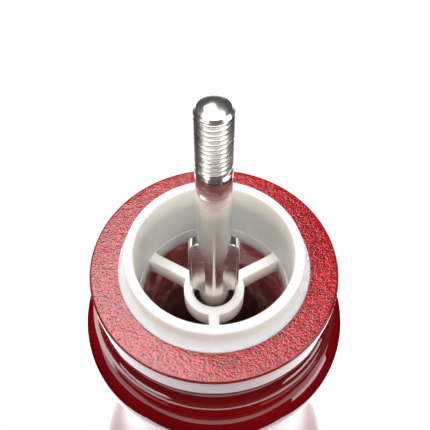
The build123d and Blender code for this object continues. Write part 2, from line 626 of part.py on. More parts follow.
def make_parts():
    """Every piece by its node name."""
    shaft_hole = SHAFT_RADIUS + RUNNING_GAP
    washer_outer = BURR_POCKET_RADIUS - SLIP_GAP
    washer_bore = BURR_SCREW_RADIUS + SLIP_GAP
    washer_low = BURR_CEILING - BURR_WASHER_THICKNESS
    parts = {
        "wood_body": wood_body(),
        "filling_collar": filling_collar(),
        "burr_housing": burr_housing(),
        "ring_burr": ring_burr(),
        "burr_circlip": burr_circlip(),
        "top_bridge": top_bridge(),
        "bridge_bush": bridge_bush(),
        "spring_cap": spring_cup(SPRING_TOP, -1, SHAFT_RADIUS + 2 * SLIP_GAP),
        "burr_spring": burr_spring(),
        "spring_seat": spring_cup(SPRING_BOTTOM, 1, shaft_hole),
        "thrust_washer": ring(THRUST_RADIUS, shaft_hole, THRUST_BOTTOM, SEAT_BOTTOM),
        "drive_shaft": drive_shaft(),
        "shaft_clip": shaft_clip(),
        "cone_burr": cone_burr(),
        "burr_washer": ring(washer_outer, washer_bore, washer_low, BURR_CEILING),
        "burr_screw": burr_screw(),
    }
    for number, screw in enumerate(around(HOUSING_SCREW_COUNT, housing_screw()), start=1):
        parts[f"housing_screw_{number}"] = screw
    return parts


os.makedirs("parts", exist_ok=True)
for node, shape in make_parts().items():
    solids = shape.solids()
    export_step(solids[0] if len(solids) == 1 else Compound(solids), f"parts/{node}.step")
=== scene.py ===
"""Pepper mill body with its head lifted off: red lacquered wood, white filling collar, steel drive
shaft and the burr mechanism in the foot. Everything is in metres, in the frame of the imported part.
"""
import json
import math

import bpy
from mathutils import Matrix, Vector


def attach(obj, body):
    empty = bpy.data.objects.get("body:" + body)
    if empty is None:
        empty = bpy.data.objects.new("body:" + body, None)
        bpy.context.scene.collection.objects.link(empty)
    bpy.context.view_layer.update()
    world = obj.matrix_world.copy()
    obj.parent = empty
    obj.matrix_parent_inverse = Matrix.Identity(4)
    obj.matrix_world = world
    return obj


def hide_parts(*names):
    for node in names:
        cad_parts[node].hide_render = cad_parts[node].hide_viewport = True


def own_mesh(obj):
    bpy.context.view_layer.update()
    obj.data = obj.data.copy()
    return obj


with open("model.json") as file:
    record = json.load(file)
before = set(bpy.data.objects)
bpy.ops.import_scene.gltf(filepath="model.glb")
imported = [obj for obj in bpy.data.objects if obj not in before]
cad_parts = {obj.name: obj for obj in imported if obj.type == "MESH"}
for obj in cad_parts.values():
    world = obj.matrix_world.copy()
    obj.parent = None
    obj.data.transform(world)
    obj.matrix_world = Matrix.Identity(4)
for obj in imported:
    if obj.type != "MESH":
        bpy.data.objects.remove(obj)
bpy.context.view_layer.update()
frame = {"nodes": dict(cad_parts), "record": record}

MM = 0.001
HALF = math.sqrt(0.5)

# ---- sizes of the wooden body, in millimetres, as in the part's source ---------------------------
TOP = 118.0
TOP_RADIUS = 19.4
TOP_EDGE = 0.35  # the part rounds this edge 0.6
BAND_FOOT = 114.2
BEAD_TOP = 113.9
BEAD_MIDDLE = 113.45
BEAD_FOOT = 113.0
BEAD_DEPTH = 0.35
NECK = (17.5, 110.5)
NECK_FOOT = (19.5, 107.8)
STEP = 0.4
BULGE_START = (20.3, 107.0)
BULGE = (22.2, 101.7)
BULGE_END = (20.3, 96.4)
WAIST = (
    (18.99, 94.5), (18.04, 92.5), (17.22, 90), (16.65, 87), (16.38, 84), (16.32, 81), (16.39, 78),
    (16.56, 75), (16.8, 72), (17.1, 69), (17.47, 66), (17.91, 63), (18.44, 60), (19.07, 57),
    (19.81, 54), (20.68, 51), (21.74, 48), (23.06, 45), (24.67, 42), (26.26, 39), (27.51, 36),
    (28.36, 33), (28.91, 30), (29.23, 27), (29.37, 24), (29.4, 22),
)
PLINTH = ((29.0, 12.4), (29.2, 12.0), (30.0, 11.2))
FOOT_RADIUS = 30.0
FOOT_EDGE = 1.4
RECESS_RADIUS = 22.5
RECESS_DEPTH = 4.0
RECESS_EDGE = 0.8
MECHANISM_RADIUS = 17.0
RESERVOIR_RADIUS = 12.3
HOUSING_TOP = 34.0

# ---- sizes of the collar -------------------------------------------------------------------------
RIM_TOP = 122.1
RIM_RADIUS = 13.75
RIM_BORE = 12.3
RIM_ROUND = 0.55
COVE_TOP = 120.0
COVE_EDGE = 0.3
COLLAR_FOOT = 14.95
SKIRT_RADIUS = 13.2
SKIRT_BOTTOM = 107.2
SPIDER_TOP = 110.6
HUB_RADIUS = 5.0
HUB_BORE = 3.5
SPOKE_WIDTH = 1.7
SPOKE_FILLET = 1.1
SPOKE_TURNS = (-90, 30, 150)
FLANGE_SEAT = 117.5

# ---- sizes of the drive shaft --------------------------------------------------------------------
SHAFT_RADIUS = 2.5
SHAFT_TIP = 152.4
DOME_FOOT = (2.1, 151.85)
THREAD_TOP = 151.5
THREAD_BOTTOM = 142.1
THREAD_RADIUS = 2.45
CORE_RADIUS = 1.99
PITCH = 0.8
CREST = 0.1
THREAD_PHASE = 140.9
UNDERCUT_RADIUS = 1.95
SHANK_TOP = 141.3
SHANK_CHAMFER = 0.3
TURNED_LINES = (137.7, 137.3)
LINE_WIDTH = 0.12
LINE_DEPTH = 0.06
WING_SPAN = 7.8
WING_THICKNESS = 1.7
WING_BOTTOM = 111.15
WING_TOP = 124.9
WING_CORNER = 2.0
RIB_HALF = 1.4
RIB_TAPER = 3.0
SQUARE = 3.8
SQUARE_TOP = 19.0
SHAFT_BOTTOM = 8.9
SCREW_HOLE = (1.25, 14.8)
CLIP_GROOVE = (34.6, 35.2, 2.1)

# ---- sizes of the spring -------------------------------------------------------------------------
SPRING_RADIUS = 4.5
WIRE_RADIUS = 0.55
SPRING_TURNS = 5
SPRING_BOTTOM = 20.85
SPRING_TOP = 30.7


# ---- modelling helpers ---------------------------------------------------------------------------
def deselect():
    """Leaves edit mode and selects nothing."""
    if bpy.context.object and bpy.context.object.mode != "OBJECT":
        bpy.ops.object.mode_set(mode="OBJECT")
    bpy.ops.object.select_all(action="DESELECT")


def pick(piece):
    deselect()
    piece.select_set(True)
    bpy.context.view_layer.objects.active = piece


def arc(start, middle, end, steps):
    """Points of the arc through three (radius, height) points, after the first."""
    ax, ay = start
    bx, by = middle
    cx, cy = end
    turn = 2 * (ax * (by - cy) + bx * (cy - ay) + cx * (ay - by))
    a, b, c = ax * ax + ay * ay, bx * bx + by * by, cx * cx + cy * cy
    ox = (a * (by - cy) + b * (cy - ay) + c * (ay - by)) / turn
    oy = (a * (cx - bx) + b * (ax - cx) + c * (bx - ax)) / turn
    radius = math.hypot(ax - ox, ay - oy)
    first = math.atan2(ay - oy, ax - ox)
    last = math.atan2(cy - oy, cx - ox)
    through = math.atan2(by - oy, bx - ox)
    whole = (last - first) % math.tau
    if (through - first) % math.tau > whole:
        whole -= math.tau
    angles = [first + whole * n / steps for n in range(1, steps + 1)]
    return [(ox + radius * math.cos(t), oy + radius * math.sin(t)) for t in angles]


def smooth_run(points, steps):
    """Points of a smooth curve through (radius, height) points, after the first."""
    run = []
    for n in range(len(points) - 1):
        before, here = Vector(points[max(n - 1, 0)]), Vector(points[n])
        there, after = Vector(points[n + 1]), Vector(points[min(n + 2, len(points) - 1)])
        for k in range(1, steps + 1):
            t = k / steps
            place = 0.5 * (
                2 * here + (there - before) * t
                + (2 * before - 5 * here + 4 * there - after) * t * t
                + (3 * here - before - 3 * there + after) * t ** 3
            )
            run.append(tuple(place))
    return run


def split_run(start, end, count):
    """Evenly spaced points from start to end, after the first."""
    return [tuple(Vector(start).lerp(Vector(end), n / count)) for n in range(1, count + 1)]


def draw_outline(name, points):
    """A plane merged to one vertex, then extruded from point to point in the XZ plane."""
    deselect()
    bpy.ops.mesh.primitive_plane_add(size=MM)
    piece = bpy.context.object
    piece.name = name
    bpy.ops.object.mode_set(mode="EDIT")
    bpy.ops.mesh.select_mode(type="VERT")
    bpy.ops.mesh.merge(type="CENTER")
    at = Vector(points[0])
    bpy.ops.transform.translate(value=(at.x * MM, 0, at.y * MM))
    for point in points[1:]:
        move = Vector(point) - at
        bpy.ops.mesh.extrude_region_move(
            TRANSFORM_OT_translate={"value": (move.x * MM, 0, move.y * MM)}
        )
        at = Vector(point)
    return piece


def turn_piece(name, points, steps=192, closed=True, sharp=32):
    """A turned piece: its outline spun about the axis, merged at the seam, with its faces outwards."""
    piece = draw_outline(name, points + points[:1] if closed else points)
    bpy.ops.mesh.select_all(action="SELECT")
    bpy.ops.mesh.spin(steps=steps, angle=math.tau, center=(0, 0, 0), axis=(0, 0, 1))
    close_and_face_out(piece)
    bpy.ops.object.shade_smooth_by_angle(angle=math.radians(sharp))
    return piece


def close_and_face_out(piece):
    """Merges doubled vertices and turns the faces outwards."""
    pick(piece)
    bpy.ops.object.mode_set(mode="EDIT")
    bpy.ops.mesh.select_all(action="SELECT")
    bpy.ops.mesh.remove_doubles(threshold=0.002 * MM)
    bpy.ops.mesh.normals_make_consistent(inside=False)
    bpy.ops.object.mode_set(mode="OBJECT")


def merged_copy(node, sharp=30):
    """A copy of a CAD node's mesh, merged and shaded smooth, that stands for the node."""
    source = frame["nodes"][node]
    piece = source.copy()
    piece.data = source.data.copy()
    piece.parent = None
    for key in list(piece.keys()):
        del piece[key]
    piece.name = node + "_smooth"
    bpy.context.scene.collection.objects.link(piece)
    pick(piece)
    bpy.ops.object.mode_set(mode="EDIT")
    bpy.ops.mesh.select_all(action="SELECT")
    bpy.ops.mesh.remove_doubles(threshold=0.001 * MM)
    bpy.ops.object.mode_set(mode="OBJECT")
    bpy.ops.object.shade_smooth_by_angle(angle=math.radians(sharp))
    return piece


def cut(piece, tool, operation="DIFFERENCE"):
    """Boolean modifier with a tool, applied, and the tool removed."""
    pick(piece)
    step = piece.modifiers.new("cut", "BOOLEAN")
    step.operation = operation
    step.object = tool
    step.solver = "EXACT"
    bpy.ops.object.modifier_apply(modifier=step.name)
    bpy.data.objects.remove(tool)
    return piece


def block(name, low, high):
    """Cube primitive stretched between two corners given in millimetres."""
    deselect()
    middle = [(a + b) / 2 * MM for a, b in zip(low, high)]
    bpy.ops.mesh.primitive_cube_add(size=1, location=middle)
    piece = bpy.context.object
    piece.name = name
    piece.scale = [(b - a) * MM for a, b in zip(low, high)]
    bpy.ops.object.transform_apply(location=True, rotation=True, scale=True)
    return piece


def select_parts(piece, faces=None, edges=None, vertices=None):
    """Selects in edit mode the faces, edges or vertices that pass a test, in millimetres."""
    pick(piece)
    bpy.ops.object.mode_set(mode="EDIT")
    mode = "FACE" if faces else "EDGE" if edges else "VERT"
    bpy.ops.mesh.select_mode(type=mode)
    bpy.ops.mesh.select_all(action="DESELECT")
    bpy.ops.object.mode_set(mode="OBJECT")
    mesh = piece.data
    places = [v.co / MM for v in mesh.vertices]
    if faces:
        for face in mesh.polygons:
            face.select = faces(face.center / MM, face.normal)
    elif edges:
        for edge in mesh.edges:
            edge.select = edges(places[edge.vertices[0]], places[edge.vertices[1]])
    else:
        for vertex in mesh.vertices:
            vertex.select = vertices(places[vertex.index])
    bpy.ops.object.mode_set(mode="EDIT")


def flipped_copy(piece, flip):
    """A copy with its own mesh, mirrored or turned by the signs in flip."""
    deselect()
    made = piece.copy()
    made.data = piece.data.copy()
    bpy.context.scene.collection.objects.link(made)
    made.scale = flip
    pick(made)
    bpy.ops.object.transform_apply(location=True, rotation=True, scale=True)
    if min(flip) < 0:
        close_and_face_out(made)
    return made


def join(pieces):
    """Joins pieces into the first of them."""
    deselect()
    for piece in pieces:
        piece.select_set(True)
    bpy.context.view_layer.objects.active = pieces[0]
    bpy.ops.object.join()
    return pieces[0]


def soften(piece, width, angle, segments=2):
    """Rounds the sharp edges with an applied bevel."""
    pick(piece)
    step = piece.modifiers.new("soft_edges", "BEVEL")
    step.width = width * MM
    step.segments = segments
    step.limit_method = "ANGLE"
    step.angle_limit = math.radians(angle)
    step.use_clamp_overlap = True
    bpy.ops.object.modifier_apply(modifier=step.name)


def dress(piece, *materials):
    piece.data.materials.clear()
    for material in materials:
        piece.data.materials.append(material)


# ---- material helpers ----------------------------------------------------------------------------
class Finish:
    """A new material and shorthand for its nodes."""

    def __init__(self, name, colour, roughness, metallic=0.0):
        self.material = bpy.data.materials.new(name)
        self.material.use_nodes = True
        self.tree = self.material.node_tree
        self.shader = self.tree.nodes["Principled BSDF"]
        self.set("Base Color", (*colour, 1))
        self.set("Roughness", roughness)
        self.set("Metallic", metallic)
        self.place = self.node("ShaderNodeTexCoord").outputs["Object"]

    def set(self, socket, value):
        self.shader.inputs[socket].default_value = value

    def node(self, kind, **inputs):
        made = self.tree.nodes.new(kind)
        for socket, value in inputs.items():
            made.inputs[socket.replace("_", " ")].default_value = value
        return made

    def link(self, output, target):
        self.tree.links.new(output, target)

    def stretched(self, scale):
        """Object coordinates scaled along the axes."""
        mapping = self.node("ShaderNodeMapping", Scale=scale)
        self.link(self.place, mapping.inputs["Vector"])
        return mapping.outputs["Vector"]

    def noise(self, size, detail=3.0, rough=0.5, scale=(1, 1, 1), twist=0.0):
        """Noise whose features are about size millimetres."""
        made = self.node("ShaderNodeTexNoise", Scale=1 / (size * MM), Distortion=twist)
        made.inputs["Detail"].default_value = detail
        made.inputs["Roughness"].default_value = rough
        self.link(self.stretched(scale), made.inputs["Vector"])
        return made.outputs["Fac"]

    def ramp(self, source, *stops):
        """Colour ramp of (place, colour) stops."""
        made = self.node("ShaderNodeValToRGB")
        self.link(source, made.inputs["Fac"])
        points = made.color_ramp.elements
        while len(points) < len(stops):
            points.new(0.5)
        for point, (place, colour) in zip(points, stops):
            point.position = place
            point.color = (*colour, 1) if hasattr(colour, "__len__") else (colour,) * 3 + (1,)
        return made.outputs["Color"]

    def mix(self, share, first, second):
        made = self.node("ShaderNodeMix")
        made.data_type = "RGBA"
        self.link(share, made.inputs["Factor"])
        for source, target in ((first, made.inputs[6]), (second, made.inputs[7])):
            if hasattr(source, "links"):
                self.link(source, target)
            else:
                target.default_value = (*source, 1)
        return made.outputs[2]

    def math(self, operation, first, second):
        made = self.node("ShaderNodeMath")
        made.operation = operation
        for source, target in ((first, made.inputs[0]), (second, made.inputs[1])):
            if hasattr(source, "links"):
                self.link(source, target)
            else:
                target.default_value = source
        return made.outputs[0]

    def bump(self, height, depth, strength=1.0, under=None):
        """Bump of a height from 0 to 1 over a depth in millimetres."""
        made = self.node("ShaderNodeBump", Strength=strength, Distance=depth * MM)
        self.link(height, made.inputs["Height"])
        if under is not None:
            self.link(under, made.inputs["Normal"])
        return made.outputs["Normal"]

    def surface(self, normal, coat=False):
        self.link(normal, self.shader.inputs["Normal"])
        if coat:
            self.link(normal, self.shader.inputs["Coat Normal"])

    def colour(self, source):
        self.link(source, self.shader.inputs["Base Color"])

    def radius_and_height(self):
        """Distance from the axis and height, in metres."""
        parts = self.node("ShaderNodeSeparateXYZ")
        self.link(self.place, parts.inputs[0])
        flat = self.node("ShaderNodeCombineXYZ")
        self.link(parts.outputs["X"], flat.inputs["X"])
        self.link(parts.outputs["Y"], flat.inputs["Y"])
        length = self.node("ShaderNodeVectorMath")
        length.operation = "LENGTH"
        self.link(flat.outputs[0], length.inputs[0])
        return length.outputs["Value"], parts.outputs["Z"]


LACQUER_RED = (0.19, 0.0025, 0.005)


def red_lacquer():
    """Deep red under a clear coat, with the faint waviness of sprayed lacquer."""
    finish = Finish("red_lacquer", LACQUER_RED, 0.4)
    finish.set("Specular IOR Level", 0.0)
    finish.set("Coat Weight", 1.0)
    finish.set("Coat Roughness", 0.02)
    finish.set("Coat IOR", 1.5)
    shade = finish.noise(14, 3, 0.5)
    finish.colour(finish.ramp(shade, (0.3, (0.165, 0.002, 0.004)), (0.7, (0.20, 0.003, 0.006))))
    wave = finish.noise(3.0, 1.5, 0.4)
    finish.surface(finish.bump(wave, 0.012), coat=True)
    return finish.material


def pebbled_lacquer():
    """The end-grain face: lacquer that sank between the pores and dried in small pebbles."""
    finish = Finish("pebbled_lacquer", LACQUER_RED, 0.45)
    finish.set("Specular IOR Level", 0.0)
    finish.set("Coat Weight", 1.0)
    finish.set("Coat Roughness", 0.045)
    finish.set("Coat IOR", 1.5)
    pebble = finish.noise(0.42, 2.0, 0.5, scale=(0.9, 1.1, 1), twist=0.2)
    ridge = finish.noise(1.0, 2.0, 0.5, scale=(0.8, 1.2, 1), twist=0.3)
    pores = finish.noise(0.22, 1.0, 0.5)
    shade = finish.noise(0.7, 3, 0.6)
    finish.colour(finish.ramp(shade, (0.38, (0.17, 0.0015, 0.004)), (0.64, (0.37, 0.005, 0.010))))
    first = finish.bump(ridge, 0.05)
    second = finish.bump(pebble, 0.085, under=first)
    finish.surface(finish.bump(pores, 0.03, under=second), coat=True)
    return finish.material


def bare_bore():
    """Unlacquered wood of the reservoir, dark, with red overspray at its mouth."""
    finish = Finish("bore_wood", (0.12, 0.03, 0.02), 0.55)
    radius, height = finish.radius_and_height()
    grain = finish.noise(1.2, 4, 0.6, scale=(1, 1, 0.12))
    wood = finish.ramp(grain, (0.3, (0.10, 0.034, 0.024)), (0.7, (0.26, 0.10, 0.07)))
    blot = finish.noise(4.0, 5, 0.62, twist=0.8)
    spray = finish.ramp(blot, (0.30, (0.26, 0.04, 0.045)), (0.52, (0.50, 0.13, 0.13)),
                        (0.66, (0.74, 0.46, 0.44)))
    level = finish.node("ShaderNodeMapRange")
    level.inputs["From Min"].default_value = 0.082
    level.inputs["From Max"].default_value = 0.104
    finish.link(height, level.inputs["Value"])
    wander = finish.math("ADD", level.outputs["Result"], finish.math("SUBTRACT", blot, 0.5))
    share = finish.ramp(wander, (0.25, 0.0), (0.85, 1.0))
    finish.colour(finish.mix(share, wood, spray))
    finish.surface(finish.bump(grain, 0.05))
    return finish.material


def bare_foot():
    """Sealed beech of the hollow under the foot, with growth rings and short dark flecks."""
    finish = Finish("foot_wood", (0.45, 0.27, 0.14), 0.55)
    rings = finish.node("ShaderNodeTexWave", Scale=120.0, Distortion=3.5, Detail=3.0)
    rings.wave_type = "BANDS"
    rings.bands_direction = "X"
    rings.inputs["Detail Scale"].default_value = 0.8
    finish.link(finish.stretched((1, 0.25, 0.6)), rings.inputs["Vector"])
    base = finish.ramp(rings.outputs["Fac"], (0.2, (0.36, 0.20, 0.10)), (0.8, (0.52, 0.33, 0.18)))
    fleck = finish.noise(0.5, 2, 0.5, scale=(1, 0.2, 1))
    share = finish.ramp(fleck, (0.58, 0.0), (0.68, 1.0))
    finish.colour(finish.mix(share, base, (0.24, 0.12, 0.055)))
    finish.surface(finish.bump(fleck, 0.03))
    return finish.material


def white_plastic():
    """Warm white moulded plastic, slightly translucent, with a very fine mould texture."""
    finish = Finish("white_plastic", (0.84, 0.82, 0.765), 0.42)
    finish.set("Subsurface Weight", 1.0)
    finish.set("Subsurface Radius", (1.0, 0.95, 0.85))
    finish.set("Subsurface Scale", 3 * MM)
    shade = finish.noise(6, 3, 0.5)
    finish.colour(finish.ramp(shade, (0.3, (0.92, 0.89, 0.81)), (0.7, (0.95, 0.925, 0.86))))
    finish.surface(finish.bump(finish.noise(0.25, 2, 0.5), 0.004))
    return finish.material


def turned_steel():
    """Bright turned steel: fine rings round the axis and a little drawn streaking."""
    finish = Finish("shaft_steel", (0.62, 0.60, 0.57), 0.2, 1.0)
    lines = finish.noise(0.16, 2, 0.6, scale=(0.05, 0.05, 1))
    stain = finish.noise(3.0, 4, 0.6, scale=(1, 1, 0.5))
    finish.colour(finish.ramp(stain, (0.3, (0.72, 0.68, 0.62)), (0.7, (0.84, 0.81, 0.77))))
    finish.link(finish.ramp(lines, (0.3, 0.15), (0.7, 0.28)), finish.shader.inputs["Roughness"])
    finish.surface(finish.bump(lines, 0.004))
    return finish.material


def hardened_steel():
    """Dark hardened burr steel with ground highlights and specks."""
    finish = Finish("burr_steel", (0.2, 0.19, 0.18), 0.35, 1.0)
    blue = finish.noise(2.0, 4, 0.6)
    finish.colour(finish.ramp(blue, (0.3, (0.13, 0.125, 0.125)), (0.7, (0.27, 0.26, 0.25))))
    finish.link(finish.ramp(blue, (0.3, 0.28), (0.7, 0.45)), finish.shader.inputs["Roughness"])
    finish.surface(finish.bump(finish.noise(0.2, 2, 0.5), 0.01))
    return finish.material


def drawn_wire():
    """Spring steel wire, grey and drawn."""
    finish = Finish("spring_steel", (0.42, 0.42, 0.43), 0.3, 1.0)
    streak = finish.noise(0.4, 2, 0.5)
    finish.colour(finish.ramp(streak, (0.3, (0.36, 0.36, 0.37)), (0.7, (0.48, 0.48, 0.49))))
    finish.surface(finish.bump(streak, 0.006))
    return finish.material


def zinc_plate():
    """Bright zinc plating with a faint cloudiness."""
    finish = Finish("plated_steel", (0.66, 0.67, 0.68), 0.26, 1.0)
    cloud = finish.noise(1.2, 3, 0.6)
    finish.colour(finish.ramp(cloud, (0.3, (0.58, 0.59, 0.60)), (0.7, (0.72, 0.73, 0.73))))
    finish.link(finish.ramp(cloud, (0.3, 0.2), (0.7, 0.36)), finish.shader.inputs["Roughness"])
    finish.surface(finish.bump(finish.noise(0.15, 1, 0.5), 0.004))
    return finish.material


def bearing_bronze():
    """Sintered bronze of the bush, matt and slightly mottled."""
    finish = Finish("bronze", (0.56, 0.35, 0.17), 0.4, 1.0)
    mottle = finish.noise(0.35, 3, 0.6)
    finish.colour(finish.ramp(mottle, (0.3, (0.44, 0.26, 0.12)), (0.7, (0.64, 0.41, 0.21))))
    finish.surface(finish.bump(mottle, 0.01))
    return finish.material


def black_plastic():
    """Satin black moulding with a fine spark-eroded grain."""
    finish = Finish("dark_plastic", (0.018, 0.018, 0.02), 0.42)
    grain = finish.noise(0.18, 2, 0.6)
    shade = finish.noise(5, 3, 0.5)
    finish.colour(finish.ramp(shade, (0.3, (0.014, 0.014, 0.015)), (0.7, (0.026, 0.025, 0.027))))
    finish.surface(finish.bump(grain, 0.012))
    return finish.material


# ---- the wooden body -----------------------------------------------------------------------------
def make_body():
    """Turned body from one outline, outside from the top edge to the foot, then up the bore."""
    edge_start = (TOP_RADIUS - TOP_EDGE, TOP)
    edge_mid = (TOP_RADIUS - TOP_EDGE * (1 - HALF), TOP - TOP_EDGE * (1 - HALF))
    groove = (TOP_RADIUS - BEAD_DEPTH, BEAD_TOP)
    bead_foot = (TOP_RADIUS - 1.5 * BEAD_DEPTH, BEAD_FOOT)
    foot_mid = (FOOT_RADIUS - FOOT_EDGE * (1 - HALF), FOOT_EDGE * (1 - HALF))
    points = [(COLLAR_FOOT, TOP)]
    points += split_run((COLLAR_FOOT, TOP), edge_start, 5)
    points += arc(edge_start, edge_mid, (TOP_RADIUS, TOP - TOP_EDGE), 8)
    points += split_run((TOP_RADIUS, TOP - TOP_EDGE), (TOP_RADIUS, BAND_FOOT), 3)
    points += [groove]
    points += arc(groove, (TOP_RADIUS, BEAD_MIDDLE), bead_foot, 8)
    points += arc(bead_foot, NECK, NECK_FOOT, 22)
    points += [
        (NECK_FOOT[0] + STEP, NECK_FOOT[1]),
        (NECK_FOOT[0] + STEP, NECK_FOOT[1] - STEP),
        (NECK_FOOT[0] + 2 * STEP, NECK_FOOT[1] - STEP),
        BULGE_START,
    ]
    points += arc(BULGE_START, BULGE, BULGE_END, 26)
    points += smooth_run((BULGE_END,) + WAIST, 2)
    points += list(PLINTH)
    points += split_run(PLINTH[-1], (FOOT_RADIUS, FOOT_EDGE), 3)
    points += arc((FOOT_RADIUS, FOOT_EDGE), foot_mid, (FOOT_RADIUS - FOOT_EDGE, 0), 6)
    points += [
        (RECESS_RADIUS + RECESS_EDGE, 0),
        (RECESS_RADIUS, RECESS_EDGE),
        (RECESS_RADIUS, RECESS_DEPTH),
        (MECHANISM_RADIUS, RECESS_DEPTH),
        (MECHANISM_RADIUS, HOUSING_TOP),
        (RESERVOIR_RADIUS, HOUSING_TOP),
    ]
    points += split_run((RESERVOIR_RADIUS, HOUSING_TOP), (RESERVOIR_RADIUS, SKIRT_BOTTOM), 4)
    points += [
        (SKIRT_RADIUS, SKIRT_BOTTOM),
        (SKIRT_RADIUS, FLANGE_SEAT),
        (COLLAR_FOOT, FLANGE_SEAT),
    ]
    body = turn_piece("turned_body", points, steps=224, sharp=28)
    dress(body, red_lacquer(), pebbled_lacquer(), bare_bore(), bare_foot())
    bore_limit = COLLAR_FOOT + 0.2  # the waist outside is only a little wider than this
    foot_limit = RECESS_RADIUS + 0.3
    for face in body.data.polygons:
        radius = math.hypot(face.center.x, face.center.y) / MM
        height = face.center.z / MM
        if height > TOP - 0.01 and radius < TOP_RADIUS - TOP_EDGE:
            face.material_index = 1
        elif height > HOUSING_TOP - 1 and radius < bore_limit:
            face.material_index = 2
        elif 0.1 < height < HOUSING_TOP + 0.5 and radius < foot_limit:
            face.material_index = 3
    return body


# ---- the filling collar --------------------------------------------------------------------------
def make_window_cutter():
    """The three openings between hub and wall, as one tool with rounded corners."""
    low, high = SKIRT_BOTTOM - 1, SPIDER_TOP + 0.6
    outer = RIM_BORE - 0.08
    outline = [(HUB_RADIUS, low), (outer, low), (outer, high), (HUB_RADIUS, high)]
    cutter = turn_piece("window_cutter", outline, steps=144)
    side = SPOKE_WIDTH / 2
    for turn in SPOKE_TURNS:
        bar = block("spoke_space", (0, -side, low - 1), (RIM_RADIUS + 3, side, high + 1))
        bar.rotation_euler = (0, 0, math.radians(turn))
        bpy.ops.object.transform_apply(location=True, rotation=True, scale=True)
        cut(cutter, bar)

    def beside_spoke(a, b):
        upright = abs(a.x - b.x) < 0.01 and abs(a.y - b.y) < 0.01 and abs(a.z - b.z) > 1
        if not upright:
            return False
        turns = [math.radians(turn) for turn in SPOKE_TURNS]
        offsets = [abs(a.y * math.cos(turn) - a.x * math.sin(turn)) for turn in turns]
        return min(abs(offset - side) for offset in offsets) < 0.01

    select_parts(cutter, edges=beside_spoke)
    bpy.ops.mesh.bevel(offset=SPOKE_FILLET * MM, segments=7)
    close_and_face_out(cutter)
    return cutter


def make_collar():
    """One moulding: rim with a cove outside, skirt, and a floor cut out to hub and spokes."""
    rim, bore, soft = RIM_RADIUS, RIM_BORE, RIM_ROUND
    crown_in = (bore + soft * (1 - HALF), RIM_TOP - soft * (1 - HALF))
    crown_out = (rim - soft * (1 - HALF), RIM_TOP - soft * (1 - HALF))
    cove_mid = (rim + 0.3, TOP + COVE_EDGE + 0.51)
    flange = (COLLAR_FOOT, TOP + COVE_EDGE)
    points = [(bore, SPIDER_TOP)]
    points += split_run((bore, SPIDER_TOP), (bore, RIM_TOP - soft), 4)
    points += arc((bore, RIM_TOP - soft), crown_in, (bore + soft, RIM_TOP), 6)
    points += [(rim - soft, RIM_TOP)]
    points += arc((rim - soft, RIM_TOP), crown_out, (rim, RIM_TOP - soft), 6)
    points += [(rim, COVE_TOP)]
    points += arc((rim, COVE_TOP), cove_mid, flange, 10)
    points += [
        (COLLAR_FOOT, FLANGE_SEAT),
        (SKIRT_RADIUS, FLANGE_SEAT),
        (SKIRT_RADIUS, SKIRT_BOTTOM),
        (HUB_BORE, SKIRT_BOTTOM),
        (HUB_BORE, SPIDER_TOP),
    ]
    collar = turn_piece("moulded_collar", points, steps=192)
    cut(collar, make_window_cutter())
    soften(collar, 0.2, 50, 3)
    bpy.ops.object.shade_smooth_by_angle(angle=math.radians(40))
    return collar


# ---- the drive shaft -----------------------------------------------------------------------------
def make_thread():
    """One pitch of the thread wound up with the Screw modifier, then cut level at both ends."""
    flank = (THREAD_RADIUS - CORE_RADIUS) * math.tan(math.radians(30))
    outline = [
        (CORE_RADIUS, -PITCH / 2),
        (CORE_RADIUS, -CREST / 2 - flank),
        (THREAD_RADIUS, -CREST / 2),
        (THREAD_RADIUS, CREST / 2),
        (CORE_RADIUS, CREST / 2 + flank),
        (CORE_RADIUS, PITCH / 2),
    ]
    thread = draw_outline("wound_thread", [(r, z + THREAD_PHASE) for r, z in outline])
    bpy.ops.object.mode_set(mode="OBJECT")
    step = thread.modifiers.new("wind", "SCREW")
    step.axis = "Z"
    step.angle = math.tau
    step.screw_offset = PITCH * MM
    step.iterations = 15
    step.steps = step.render_steps = 60
    step.use_merge_vertices = True
    step.merge_threshold = 0.001 * MM
    bpy.ops.object.modifier_apply(modifier=step.name)
    close_and_face_out(thread)
    for height, side in ((THREAD_BOTTOM - 0.05, -1), (THREAD_TOP + 0.03, 1)):
        select_parts(thread, vertices=lambda place: True)
        bpy.ops.mesh.bisect(
            plane_co=(0, 0, height * MM), plane_no=(0, 0, side), use_fill=True,
            clear_outer=True, threshold=1e-7,
        )
    close_and_face_out(thread)
    return thread


def make_wings():
    """Flat coined wings with rounded corners and a thin raised border on both faces."""
    half, thick = WING_SPAN / 2, WING_THICKNESS / 2
    wings = block("wings", (-half, -thick, WING_BOTTOM), (half, thick, WING_TOP))

    def corner(a, b):
        return abs(a.x - b.x) < 0.01 and abs(a.z - b.z) < 0.01

    select_parts(wings, edges=corner)
    bpy.ops.mesh.bevel(offset=WING_CORNER * MM, segments=9)
    select_parts(wings, faces=lambda place, normal: abs(normal.y) > 0.9)
    bpy.ops.mesh.inset(thickness=0.34 * MM, depth=0)
    bpy.ops.mesh.inset(thickness=0.1 * MM, depth=-0.07 * MM)
    bpy.ops.object.mode_set(mode="OBJECT")
    soften(wings, 0.1, 60, 2)
    return wings


